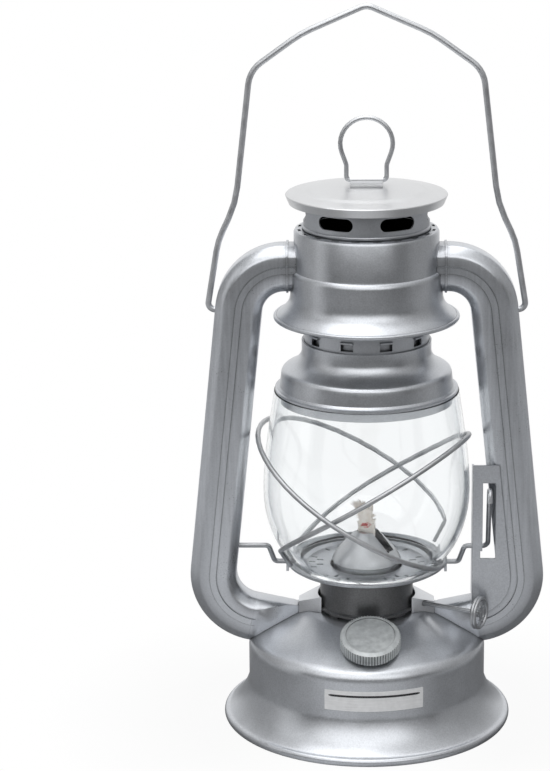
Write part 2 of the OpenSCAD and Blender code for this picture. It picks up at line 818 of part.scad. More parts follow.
// centre of a wire at height z, out from the glass by the clear gap, measured square to the glass
function guard_r(z, gap) = let (slope = globe_at(z + 0.4) - globe_at(z - 0.4))
  globe_at(z) + (guard_d / 2 + gap) * sqrt(1 + slope * slope / 0.64);
module guard_loop(gap, high) {
  from = high - 135;
  to = high + 172;
  n = 44;
  high_z = plate_z0 + guard_h;
  loop = [for (i = [0:n]) let (a = from + (to - from) * i / n,
    z = max(guard_low_z + (high_z - guard_low_z) * (1 + cos(a - high)) / 2, guard_low_z + 0.02),
    up = min(1, (z - guard_low_z) / 12),
    r = max(guard_r(z, 0.2 + (gap - 0.2) * up), guard_foot_r)) [r * cos(a), r * sin(a), z]];
  first = [guard_foot_r * cos(from - 4), guard_foot_r * sin(from - 4), guard_low_z];
  end = [guard_foot_r * cos(to + 5), guard_foot_r * sin(to + 5), guard_low_z];
  swept_round(concat([first], loop, [end]), guard_d, 8);
}

module guard_wire_front() {
  color([0.6, 0.62, 0.63])
    guard_loop(guard_d + 0.7, 165);
}

module guard_wire_rear() {
  color([0.6, 0.62, 0.63])
    guard_loop(0.3, 340);
}

// lift wires
module lift_lever() {
  top_y = bracket_y - sheet_t / 2;
  top_z = pivot_z + lever_h;
  color([0.6, 0.61, 0.62])
    wire([[plate_r - 1.2, journal_y, journal_z], [link_x0, journal_y, journal_z], [link_x1, 0, pivot_z],
      [lever_x, 0, pivot_z], [lever_x, top_y, top_z], [lever_x, top_y - 5, top_z + 0.4],
      [lever_x, top_y - 5.6, top_z - 3.6]], [0, 1.8, 1.8, 2.2, 1.6, 1.6, 0], lift_d,
      [0.9, 0.1, 0.42]);
}

module lift_link() {
  x = leg_x(pivot_z) - tube_edge + 3.2;
  color([0.6, 0.61, 0.62])
    wire([[-plate_r + 1.2, journal_y, journal_z], [-link_x0, journal_y, journal_z], [-link_x1, 0, pivot_z],
      [-x, 0, pivot_z]], [0, 1.8, 1.8, 0], lift_d, [0.1, 0.75, 0.65]);
}

// chimney
spring_d = 1;
sleeve_h = 4.4;
spring_flange_z = canopy_z0 + 9.5;
module chimney_tube() {
  z0 = globe_cap_z0 + globe_cap_h - 3;
  louvre_w = 5;
  louvre_h = 3;
  louvre_z = globe_cap_z0 + globe_cap_h + sleeve_h + 0.8;
  lining_r = chimney_r - sheet_t - 0.9;
  color([0.66, 0.68, 0.7]) {
    difference() {
      union() {
        translate([0, 0, z0])
          cylinder(r = chimney_r, h = canopy_z1 - z0);
        translate([0, 0, spring_flange_z - sheet_t])
          cylinder(r = tube_inner_end_x - 0.5, h = sheet_t);
        for (i = [0:9])
          rotate([0, 0, 36 * i])
            translate([chimney_r - sheet_t, -louvre_w / 2, louvre_z + louvre_h])
              cube([sheet_t + 0.9, louvre_w, 0.6]);
      }
      translate([0, 0, z0 - 1])
        cylinder(r = chimney_r - sheet_t, h = canopy_z1 - z0 + 2);
      for (i = [0:9])
        rotate([0, 0, 36 * i])
          translate([0, -louvre_w / 2, louvre_z])
            cube([chimney_r + 10, louvre_w, louvre_h]);
    }
    // lining behind the louvres, joined to the tube at its foot
    rotate_extrude()
      polygon([[lining_r - sheet_t, z0], [chimney_r - sheet_t / 2, z0], [chimney_r - sheet_t / 2, z0 + sheet_t],
        [lining_r, z0 + sheet_t], [lining_r, louvre_z + louvre_h + 2],
        [lining_r - sheet_t, louvre_z + louvre_h + 2]]);
  }
}

module vent_collar() {
  z0 = canopy_z1 + fit_gap;
  z1 = hood_z1 + 0.55 * hood_rise - sheet_t - fit_gap - 0.56;
  color([0.6, 0.62, 0.64])
    difference() {
      union() {
        translate([0, 0, z0])
          cylinder(r = chimney_r, h = z1 - z0);
        rotate_extrude()
          translate([chimney_r - 0.2, z0 + 0.8])
            circle(r = 0.8);
      }
      translate([0, 0, z0 - 1])
        cylinder(r = chimney_r - sheet_t, h = 40);
      for (i = [0:5])
        rotate([0, 0, 60 * i])
          translate([0, 0, canopy_z1 + 5.7])
            rotate([0, 90, 0]) {
              translate([-2.5, -4.8, 0])
                cube([5, 9.6, 40]);
              for (y = [-4.8, 4.8])
                translate([0, y, 0])
                  cylinder(r = 2.5, h = 40);
            }
    }
}

module globe_cap() {
  z = globe_cap_z0;
  r0 = globe_top_r - 0.4;
  rt = chimney_r + fit_gap;
  top = [for (i = [0:6]) bez4([r0 - 4.2, z + 9], [r0 - 6.8, z + 10.3], [rt + sheet_t + 0.6, z + 12.2],
    [rt + sheet_t, z + globe_cap_h], i / 6)];
  sleeve = [[rt + sheet_t, z + globe_cap_h + sleeve_h]];
  side = concat([[r0, z + sheet_t], [r0 - 1, z + sheet_t + 0.2], [r0 - 1.8, z + 1.9], [r0 - 2.5, z + 7.2],
    [r0 - 2.8, z + 8], [r0 - 3.4, z + 8.6]], top, sleeve);
  skirt_r = globe_top_r - glass_t - run_gap - 0.4;
  color([0.7, 0.72, 0.74]) {
    rotate_extrude()
      polygon(sheet(side, sheet_t));
    rotate_extrude()
      polygon([[skirt_r - sheet_t, z - 4], [skirt_r, z - 4], [skirt_r, z], [r0, z], [r0, z + sheet_t + 0.1],
        [skirt_r - sheet_t, z + sheet_t + 0.1]]);
  }
}

// hood: a skirt, a flat brim, and a shallow dome inside a raised ring
module hood_cap() {
  ring = 0.76 * hood_r;
  ring_top = hood_z1 + 0.55 * hood_rise;
  brim = [[hood_r, hood_z1 - 0.1], [hood_r - 0.25, hood_z1 + 0.2], [hood_r - 0.8, hood_z1 + 0.35],
    [ring, ring_top - 0.4]];
  dome = [for (i = [0:4]) bez3([ring - 0.9, ring_top], [ring / 2, hood_z2], [ring / 4, hood_z2], i / 4)];
  top = concat(brim, dome, [[0, hood_z2]]);
  under = [for (i = [2:len(top) - 1]) [max(0, top[i][0] - 0.4 * sheet_t), top[i][1] - sheet_t]];
  color([0.78, 0.79, 0.8])
    rotate_extrude()
      polygon(concat([[hood_r - 1.3, hood_z0], [hood_r - 0.2, hood_z1 - 0.6]], top, reversed(under),
        [[hood_r - 0.5 - sheet_t, hood_z1 - sheet_t], [hood_r - 1.3 - sheet_t, hood_z0]]));
}

strap_w = 2 * (ring_leg_x - ring_d / 2 - run_gap - 0.2);
module ring_strap() {
  color([0.78, 0.79, 0.8])
    translate([-strap_w / 2, 0, 0])
      rotate([90, 0, 90])
        linear_extrude(strap_w)
          difference() {
            union() {
              translate([-5, hood_z2 + fit_gap])
                square([10, sheet_t]);
              translate([0, ring_z])
                circle(d = ring_d + 2 * turn_gap + 2 * sheet_t);
              translate([-ring_d / 2 - sheet_t, hood_z2 + fit_gap])
                square([ring_d + 2 * sheet_t, ring_z - hood_z2 - fit_gap]);
            }
            translate([0, ring_z])
              circle(d = ring_d + 2 * turn_gap);
          }
}

// compression spring between the canopy top and the flange of the chimney
spring_turns = 3.5;
spring_z0 = spring_flange_z + spring_d / 2 + fit_gap;
spring_z1 = canopy_z1 - sheet_t - spring_d / 2 - fit_gap;
echo("least gap between turns of the spring", (spring_z1 - spring_z0) / spring_turns - spring_d);
module chimney_spring() {
  r = chimney_r + run_gap + spring_d / 2 + 0.2;
  n = 84;
  color([0.5, 0.5, 0.52])
    swept_round([for (i = [0:n]) let (a = 360 * spring_turns * i / n)
      [r * cos(a), r * sin(a), spring_z0 + (spring_z1 - spring_z0) * i / n]], spring_d, 6);
}

module lift_ring() {
  z = ring_z + ring_h;
  flank = 20;
  x0 = ring_r * cos(flank);
  leg_z = z - ring_r * sin(flank) - (x0 - ring_leg_x) / tan(flank);
  half = 32.5;
  shoulder_pt = ring_r / cos(half) * [cos(half - flank), sin(half - flank)];
  color([0.66, 0.67, 0.69])
    wire([[2, 0, ring_z], [ring_leg_x, 0, ring_z], [ring_leg_x, 0, leg_z],
      [shoulder_pt[0], 0, z + shoulder_pt[1]], [0, 0, z + ring_r * sqrt(2)],
      [-shoulder_pt[0], 0, z + shoulder_pt[1]], [-ring_leg_x, 0, leg_z], [-ring_leg_x, 0, ring_z],
      [-2, 0, ring_z]], [0, 1.5, 3, ring_r, ring_r, ring_r, 3, 1.5, 0], ring_d, [0, 1, 0]);
}

module bail() {
  h = bail_h;
  half = [[bail_pin_x, 0], [bail_foot_x, 0], [bail_foot_x - 4.5, 0.231 * h], [bail_foot_x - 11.4, 0.356 * h],
    [bail_foot_x - 17.3, 0.79 * h], [0.403 * bail_foot_x, 0.908 * h]];
  bends = [0, 2.6, 30, 40, 12, 40];
  color([0.62, 0.63, 0.65])
    wire(concat([for (p = half) [p[0], 0, bail_z + p[1]]], [[0, 0, bail_z + h]],
      [for (p = reversed(half)) [-p[0], 0, bail_z + p[1]]]), concat(bends, [6], reversed(bends)), bail_d, [0, 1, 0]);
}

fount_shell();
fount_bottom();
filler_neck();
filler_gasket();
filler_cap();
burner_neck();
air_ducts();
burner_collar();
burner_body();
wick_tube();
burner_cone();
wick();
wick_shaft();
spur_wheels();
thumb_wheel();
left_tube();
right_tube();
tube_collars();
canopy();
lever_bracket();
globe_plate();
globe();
guard_wire_front();
guard_wire_rear();
lift_lever();
lift_link();
chimney_tube();
vent_collar();
globe_cap();
hood_cap();
ring_strap();
chimney_spring();
lift_ring();
bail();
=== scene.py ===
"""Looks of a silver hurricane lantern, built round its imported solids.

Metres, +Z up, the filler cap faces -Y.
"""

import json
import math
import random

import bmesh
import bpy
from mathutils import Matrix, Vector


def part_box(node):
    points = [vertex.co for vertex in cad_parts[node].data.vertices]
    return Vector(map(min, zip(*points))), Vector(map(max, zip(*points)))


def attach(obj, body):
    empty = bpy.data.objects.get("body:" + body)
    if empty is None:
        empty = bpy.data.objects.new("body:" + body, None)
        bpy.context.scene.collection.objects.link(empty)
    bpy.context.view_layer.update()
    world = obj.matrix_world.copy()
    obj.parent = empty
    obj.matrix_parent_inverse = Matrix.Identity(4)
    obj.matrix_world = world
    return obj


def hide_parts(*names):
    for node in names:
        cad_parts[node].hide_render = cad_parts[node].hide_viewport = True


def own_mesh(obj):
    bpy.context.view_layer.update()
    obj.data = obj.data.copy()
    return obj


MM = 0.001
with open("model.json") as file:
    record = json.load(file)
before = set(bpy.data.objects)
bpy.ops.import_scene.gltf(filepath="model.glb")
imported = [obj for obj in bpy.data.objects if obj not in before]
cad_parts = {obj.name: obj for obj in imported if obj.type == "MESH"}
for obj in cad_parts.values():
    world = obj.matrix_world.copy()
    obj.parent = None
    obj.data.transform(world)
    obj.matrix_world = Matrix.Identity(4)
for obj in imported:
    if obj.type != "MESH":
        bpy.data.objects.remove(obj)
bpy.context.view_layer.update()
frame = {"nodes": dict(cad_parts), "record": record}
nodes = frame["nodes"]
scene = bpy.context.scene
scene.view_settings.view_transform = "Standard"


# node trees

class Shader:
    """A material or world node tree, with short calls to add nodes and join them."""

    def __init__(self, tree):
        self.tree = tree

    def add(self, kind, **values):
        """Adds a node. A value is a socket to link, a constant for the input of that name, or a property."""
        node = self.tree.nodes.new("ShaderNode" + kind)
        for name, value in values.items():
            if hasattr(node, name):
                setattr(node, name, value)
            else:
                self.put(node, name.replace("_", " "), value)
        return node

    def put(self, node, name, value):
        """Links or sets the input of that name. in0, in1 and so on mean an input by its number."""
        by_number = name.startswith("in") and name[2:].isdigit()
        socket = node.inputs[int(name[2:]) if by_number else name]
        if isinstance(value, bpy.types.NodeSocket):
            self.tree.links.new(value, socket)
        else:
            socket.default_value = value

    def math(self, operation, a, b=0.0):
        return self.add("Math", operation=operation, in0=a, in1=b).outputs[0]

    def mix(self, fac, a, b):
        """The colour a where fac is 0 and b where it is 1."""
        node = self.add("Mix", data_type="RGBA", in0=fac, in6=a, in7=b)
        return node.outputs[2]

    def times(self, colour, level):
        """The colour, darkened by level."""
        return self.add("MixRGB", blend_type="MULTIPLY", Fac=1.0, Color1=colour, Color2=level).outputs[0]

    def dot(self, a, b):
        return self.add("VectorMath", operation="DOT_PRODUCT", in0=a, in1=b).outputs["Value"]

    def axis(self, where, letter):
        return self.add("SeparateXYZ", Vector=where).outputs[letter]

    def noise(self, where, scale, detail=2.0, rough=0.5):
        return self.add("TexNoise", Vector=where, Scale=scale, Detail=detail, Roughness=rough).outputs["Fac"]

    def span(self, value, low, high, to_low=0.0, to_high=1.0):
        """Maps low..high to to_low..to_high, held at the ends."""
        node = self.add("MapRange", Value=value)
        for name, number in (("From Min", low), ("From Max", high), ("To Min", to_low), ("To Max", to_high)):
            node.inputs[name].default_value = number
        return node.outputs[0]

    def stretched(self, where, scale):
        node = self.add("Mapping", Vector=where)
        node.inputs["Scale"].default_value = scale
        return node.outputs[0]

    def bump(self, height, strength, depth):
        return self.add("Bump", Height=height, Strength=strength, Distance=depth).outputs[0]


def new_material(name):
    """(material, shader, its surface node, object coordinates in metres)"""
    material = bpy.data.materials.new(name)
    material.use_nodes = True
    shader = Shader(material.node_tree)
    surface = material.node_tree.nodes["Principled BSDF"]
    where = shader.add("TexCoord").outputs["Object"]
    return material, shader, surface, where


def rgb(r, g, b):
    return (r, g, b, 1.0)


def grey(level, cool=0.032):
    """A grey of the given level, turned towards blue by cool."""
    return rgb(level * (1 - cool), level, level * (1 + 1.6 * cool))


# materials; a noise scale is in waves a metre

FLAKE_SCALE = 1700.0
MOTTLE_SCALE = 90.0
PEEL_SCALE = 650.0
PEEL_DEPTH = 0.12 * MM
CORNER_SHADE_REACH = 5 * MM
EDGE_SHADE_WIDTH = 0.45 * MM
INNER_WALL_BLACK = rgb(0.012, 0.012, 0.012)
LEG_FOOT_FADE = (0.055, 0.080)
LEG_HEAD_FADE = (0.175, 0.205)


def coated_metal(name, dark, light, rough, flake_bump=0.10, corner_shade=0.35, streak=None, inner_black=0.0, edge_shade=0.0):
    """Sheet metal with a fine flake, a slow mottle and painted shade in its corners.

    streak draws lines along the straight legs of the tubes, inner_black blackens walls that face the
    lantern's axis, and edge_shade paints a thin line of shade along folded edges.
    """
    material, s, surface, where = new_material(name)
    grain = s.noise(where, FLAKE_SCALE, 3.0, 0.6)
    mottle = s.noise(where, MOTTLE_SCALE, 4.0, 0.55)
    tone = s.math("ADD", s.span(grain, 0.3, 0.7, 0.0, 0.7), s.span(mottle, 0.35, 0.65, 0.0, 0.3))
    if streak:
        tone = streaked(s, where, tone, streak)
    colour = s.mix(tone, dark, light)
    # painted shade: the colour darkens where other surfaces close in, in corners and under parts
    corner = s.add("AmbientOcclusion", samples=6, Distance=CORNER_SHADE_REACH).outputs["AO"]
    colour = s.times(colour, s.span(corner, 0.35, 0.9, 1.0 - corner_shade, 1.0))
    if edge_shade:
        colour = edge_shaded(s, colour, edge_shade)
    # black on walls that face in towards the lantern's axis
    if inner_black:
        colour = inner_blackened(s, where, colour, inner_black)
    s.put(surface, "Base Color", colour)
    surface.inputs["Metallic"].default_value = 0.9
    s.put(surface, "Roughness", s.span(s.math("ADD", grain, mottle), 0.7, 1.3, rough - 0.02, rough + 0.06))
    peel = s.noise(where, PEEL_SCALE, 2.0, 0.5)
    height = s.math("ADD", s.math("MULTIPLY", grain, 0.5), peel)
    s.put(surface, "Normal", s.bump(height, flake_bump, PEEL_DEPTH))
    return material


def streaked(s, where, tone, scale):
    """tone, half of it given to lines of the given scale, which fade out where the tubes bend."""
    lines = s.noise(s.stretched(where, scale), 1.0, 3.0, 0.6)
    up = s.axis(where, "Z")
    straight = s.math("MULTIPLY", s.span(up, *LEG_FOOT_FADE), s.span(up, *LEG_HEAD_FADE, 1.0, 0.0))
    lines = s.math("ADD", 0.5, s.math("MULTIPLY", straight, s.math("SUBTRACT", lines, 0.5)))
    return s.math("ADD", s.math("MULTIPLY", tone, 0.5), s.span(lines, 0.3, 0.7, 0.0, 0.5))


def edge_shaded(s, colour, strength):
    """colour, with painted shade where a rounded normal leaves the true one, which is beside a fold."""
    rounded = s.add("Bevel", samples=5, Radius=EDGE_SHADE_WIDTH).outputs[0]
    true = s.add("NewGeometry").outputs["Normal"]
    return s.times(colour, s.span(s.dot(rounded, true), 0.86, 0.995, 1.0 - strength, 1.0))


def inner_blackened(s, where, colour, strength):
    """colour, black on walls whose normal points in towards the lantern's axis."""
    facing = s.add("TexCoord").outputs["Normal"]
    outward = s.add("VectorMath", operation="NORMALIZE", in0=s.stretched(where, (1.0, 1.0, 0.0))).outputs[0]
    return s.mix(s.span(s.dot(facing, outward), -0.5, -0.1, strength, 0.0), colour, INNER_WALL_BLACK)


def zinc_plate(name):
    """Mottled zinc: patches of pale and dark spangle, matt and slightly rough."""
    material, s, surface, where = new_material(name)
    spangle = s.add("TexVoronoi", Vector=where, Scale=520.0).outputs["Distance"]
    cloud = s.noise(where, 260.0, 5.0, 0.65)
    grain = s.noise(where, 2400.0, 2.0, 0.6)
    tone = s.math("ADD", s.span(cloud, 0.32, 0.68, 0.0, 0.7), s.math("MULTIPLY", spangle, 0.35))
    colour = s.mix(tone, rgb(0.46, 0.485, 0.495), rgb(0.72, 0.75, 0.755))
    # painted shade: much darker down in the knurl's grooves and other tight hollows
    groove_shade = s.add("AmbientOcclusion", samples=8, Distance=0.8 * MM).outputs["AO"]
    s.put(surface, "Base Color", s.times(colour, s.span(groove_shade, 0.45, 0.92, 0.10, 1.0)))
    surface.inputs["Metallic"].default_value = 0.5
    s.put(surface, "Roughness", s.span(cloud, 0.3, 0.7, 0.36, 0.56))
    height = s.math("ADD", cloud, s.math("MULTIPLY", grain, 0.4))
    s.put(surface, "Normal", s.bump(height, 0.22, 0.12 * MM))
    return material


def drawn_wire(name, dark, light, rough):
    """Galvanised wire: drawing marks, dull patches and small nicks."""
    material, s, surface, where = new_material(name)
    patch = s.noise(where, 240.0, 4.0, 0.6)
    grain = s.noise(where, 1900.0, 2.0, 0.6)
    s.put(surface, "Base Color", s.mix(s.span(s.math("ADD", patch, grain), 0.75, 1.25), dark, light))
    surface.inputs["Metallic"].default_value = 0.95
    s.put(surface, "Roughness", s.span(patch, 0.3, 0.7, rough - 0.05, rough + 0.08))
    s.put(surface, "Normal", s.bump(patch, 0.06, 0.08 * MM))
    return material


def clear_glass(name):
    """Soda glass with a faint blue-green body and slow waves of its blown surface."""
    material, s, surface, where = new_material(name)
    surface.inputs["Base Color"].default_value = rgb(0.992, 0.996, 0.998)
    surface.inputs["Transmission Weight"].default_value = 1.0
    surface.inputs["IOR"].default_value = 1.47
    smears = s.noise(where, 160.0, 3.0)
    s.put(surface, "Roughness", s.span(smears, 0.45, 0.75, 0.0, 0.02))
    waves = s.noise(where, 28.0, 2.0, 0.4)
    s.put(surface, "Normal", s.bump(waves, 0.035, 1.5 * MM))
    body = s.add("VolumeAbsorption")
    body.inputs["Color"].default_value = rgb(0.75, 0.87, 0.92)
    body.inputs["Density"].default_value = 28.0
    s.put(material.node_tree.nodes["Material Output"], "Volume", body.outputs[0])
    return material


def cotton(name, dark, light):
    """Soft cotton yarn: fibres, uneven dye and a little sheen."""
    material, s, surface, where = new_material(name)
    fibre = s.noise(s.stretched(where, (5200.0, 5200.0, 900.0)), 1.0, 4.0, 0.7)
    cloud = s.noise(where, 520.0, 3.0, 0.6)
    s.put(surface, "Base Color", s.mix(s.span(s.math("ADD", fibre, cloud), 0.7, 1.3), dark, light))
    surface.inputs["Roughness"].default_value = 0.92
    surface.inputs["Sheen Weight"].default_value = 0.35
    s.put(surface, "Normal", s.bump(fibre, 0.5, 0.15 * MM))
    return material


def rubber(name):
    """Black rubber with a fine matt grain."""
    material, s, surface, where = new_material(name)
    grain = s.noise(where, 1500.0, 3.0, 0.6)
    s.put(surface, "Base Color", s.mix(grain, rgb(0.012, 0.012, 0.012), rgb(0.035, 0.034, 0.033)))
    s.put(surface, "Roughness", s.span(grain, 0.3, 0.7, 0.6, 0.8))
    s.put(surface, "Normal", s.bump(grain, 0.2, 0.1 * MM))
    return material


def label_foil(name):
    """Pale foil of the label, with fine rolling lines and faint handling marks."""
    material, s, surface, where = new_material(name)
    lines = s.noise(s.stretched(where, (90.0, 90.0, 4200.0)), 1.0, 2.0, 0.5)
    marks = s.noise(where, 420.0, 4.0, 0.6)
    tone = s.span(s.math("ADD", lines, marks), 0.75, 1.25)
    s.put(surface, "Base Color", s.mix(tone, rgb(0.67, 0.675, 0.68), rgb(0.78, 0.785, 0.79)))
    surface.inputs["Metallic"].default_value = 0.15
    s.put(surface, "Roughness", s.span(marks, 0.3, 0.7, 0.38, 0.52))
    s.put(surface, "Normal", s.bump(lines, 0.05, 0.05 * MM))
    return material


def label_ink(name):
    """Black print, slightly uneven."""
    material, s, surface, where = new_material(name)
    grain = s.noise(where, 2600.0, 3.0, 0.6)
    s.put(surface, "Base Color", s.mix(grain, rgb(0.010, 0.010, 0.012), rgb(0.030, 0.030, 0.033)))
    s.put(surface, "Roughness", s.span(grain, 0.3, 0.7, 0.4, 0.55))
    return material


SILVER = coated_metal("silver_paint", dark=grey(0.50), light=grey(0.67), rough=0.30, flake_bump=0.08,
                      corner_shade=0.2, edge_shade=0.45)
TUBE_SILVER = coated_metal("tube_silver_paint", dark=grey(0.50), light=grey(0.71), rough=0.29,
                           flake_bump=0.06, streak=(900.0, 900.0, 28.0), edge_shade=0.6)
NECK_STEEL = coated_metal("neck_steel", dark=grey(0.15, 0.01), light=grey(0.23, 0.01), rough=0.36)
PALE_TIN = coated_metal("pale_tin", dark=grey(0.70, 0.02), light=grey(0.80, 0.02), rough=0.34, corner_shade=0.25)
COLLAR_STEEL = coated_metal("collar_steel", dark=grey(0.48), light=grey(0.58), rough=0.37, flake_bump=0.04,
                            corner_shade=0.2, inner_black=1.0)
FLUE_SILVER = coated_metal("flue_silver_paint", dark=grey(0.50), light=grey(0.60), rough=0.34, inner_black=1.0)
HOOD_TIN = coated_metal("hood_tin", dark=grey(0.60, 0.01), light=grey(0.67, 0.01), rough=0.34,
                        flake_bump=0.03, corner_shade=0.12)
# a paler copy of the hood's tin: painted highlight for the strap's lit top
LIT_STRAP_TIN = coated_metal("lit_strap_tin", dark=grey(0.76, 0.01), light=grey(0.84, 0.01), rough=0.34,
                         flake_bump=0.03, corner_shade=0.1)
BURNER_TIN = coated_metal("burner_tin", dark=grey(0.44, 0.02), light=grey(0.54, 0.02), rough=0.34,
                          flake_bump=0.04, inner_black=0.9)
ZINC = zinc_plate("zinc_plate")
WIRE = drawn_wire("galvanised_wire", dark=grey(0.56, 0.02), light=grey(0.68, 0.02), rough=0.40)
DARK_WIRE = drawn_wire("dull_wire", dark=grey(0.42, 0.02), light=grey(0.56, 0.02), rough=0.40)
GLASS = clear_glass("clear_glass")
COTTON = cotton("wick_cotton", dark=rgb(0.80, 0.72, 0.64), light=rgb(1.0, 0.97, 0.92))
RED_YARN = cotton("wick_red_yarn", dark=rgb(0.45, 0.03, 0.03), light=rgb(0.70, 0.14, 0.12))
RUBBER = rubber("gasket_rubber")
FOIL = label_foil("label_foil")
INK = label_ink("label_ink")

FINISHES = {
    SILVER: ("fount_shell", "fount_bottom", "canopy", "globe_cap", "globe_plate", "lever_bracket",
             "tube_collars"),
    FLUE_SILVER: ("chimney_tube",),
    TUBE_SILVER: ("left_tube", "right_tube"),
    NECK_STEEL: ("burner_neck",),
    PALE_TIN: ("air_ducts",),
    COLLAR_STEEL: ("vent_collar",),
    HOOD_TIN: ("hood_cap",),
    LIT_STRAP_TIN: ("ring_strap",),
    BURNER_TIN: ("burner_cone", "burner_collar", "burner_body", "wick_tube", "spur_wheels"),
    ZINC: ("filler_cap", "filler_neck"),
    WIRE: ("bail", "lift_ring", "lift_lever"),
    DARK_WIRE: ("guard_wire_front", "guard_wire_rear", "lift_link", "wick_shaft", "thumb_wheel",
                "chimney_spring"),
    GLASS: ("globe",),
    COTTON: ("wick",),
    RUBBER: ("filler_gasket",),
}
ROUND_WIRES = ("bail", "lift_ring", "guard_wire_front", "guard_wire_rear", "lift_lever", "lift_link",
               "chimney_spring")
SHEET_CREASE = math.radians(34)
WIRE_CREASE = math.radians(75)
WELD_GAP = 0.002 * MM


def dress(obj, material, crease):
    """Gives a solid its material and shades it smooth, apart from edges sharper than crease."""
    mesh = obj.data
    mesh.materials.clear()
    mesh.materials.append(material)
    if "custom_normal" in mesh.attributes:
        mesh.attributes.remove(mesh.attributes["custom_normal"])
    for face in mesh.polygons:
        face.use_smooth = True
        face.material_index = 0
    weld = obj.modifiers.new("weld", "WELD")
    weld.merge_threshold = WELD_GAP
    split = obj.modifiers.new("crease", "EDGE_SPLIT")
    split.split_angle = crease


for finish, names in FINISHES.items():
    for name in names:
        dress(nodes[name], finish, WIRE_CREASE if name in ROUND_WIRES else SHEET_CREASE)


# meshes of the scene's own pieces

def new_piece(name, bm, *materials):
    """A smooth object made from bm, which is used up."""
    mesh = bpy.data.meshes.new(name)
    bmesh.ops.recalc_face_normals(bm, faces=bm.faces)
    bm.to_mesh(mesh)
    bm.free()
    for face in mesh.polygons:
        face.use_smooth = True
    for material in materials:
        mesh.materials.append(material)
    obj = bpy.data.objects.new(name, mesh)
    scene.collection.objects.link(obj)
    return obj


def ring_loop(bm, points):
    return [bm.verts.new(p) for p in points]


def circle_loop(bm, centre, radius, side, up, count):
    """A ring of points round centre, in the plane of side and up."""
    turn = [math.tau * k / count for k in range(count)]
    return ring_loop(bm, [centre + radius * (math.cos(a) * side + math.sin(a) * up) for a in turn])


def skin(bm, loops):
    """Joins the loops one after another and closes both ends."""
    count = len(loops[0])
    for low, high in zip(loops, loops[1:]):
        for k in range(count):
            n = (k + 1) % count
            bm.faces.new((low[k], low[n], high[n], high[k]))
    bm.faces.new(reversed(loops[0]))
    bm.faces.new(loops[-1])


def yarn(bm, path, radius, sides, material=0):
    """A thin closed tube along path, its ends drawn in."""
    end_share = 0.35
    loops = []
    last = len(path) - 1
    for i, p in enumerate(path):
        ahead = (path[min(i + 1, last)] - path[max(i - 1, 0)]).normalized()
        side = ahead.orthogonal().normalized()
        up = ahead.cross(side)
        r = radius * (end_share if i in (0, last) else 1.0)
        loops.append(circle_loop(bm, p, r, side, up, sides))
    before = len(bm.faces)
    skin(bm, loops)
    bm.faces.ensure_lookup_table()
    for face in bm.faces[before:]:
        face.material_index = material


def curve_path(handles, steps):
    """Points along the smooth curve of four handles."""
    a, b, c, d = handles
    path = []
    for i in range(steps + 1):
        t = i / steps
        s = 1 - t
        path.append(s * s * s * a + 3 * s * s * t * b + 3 * s * t * t * c + t * t * t * d)
    return path


def joint_range(name):
    """(least, most) travel of a sliding joint, in metres"""
    joint = next(j for j in frame["record"]["behaviour"]["joints"] if j["name"] == name)
    return joint["range_m"]


# the wick

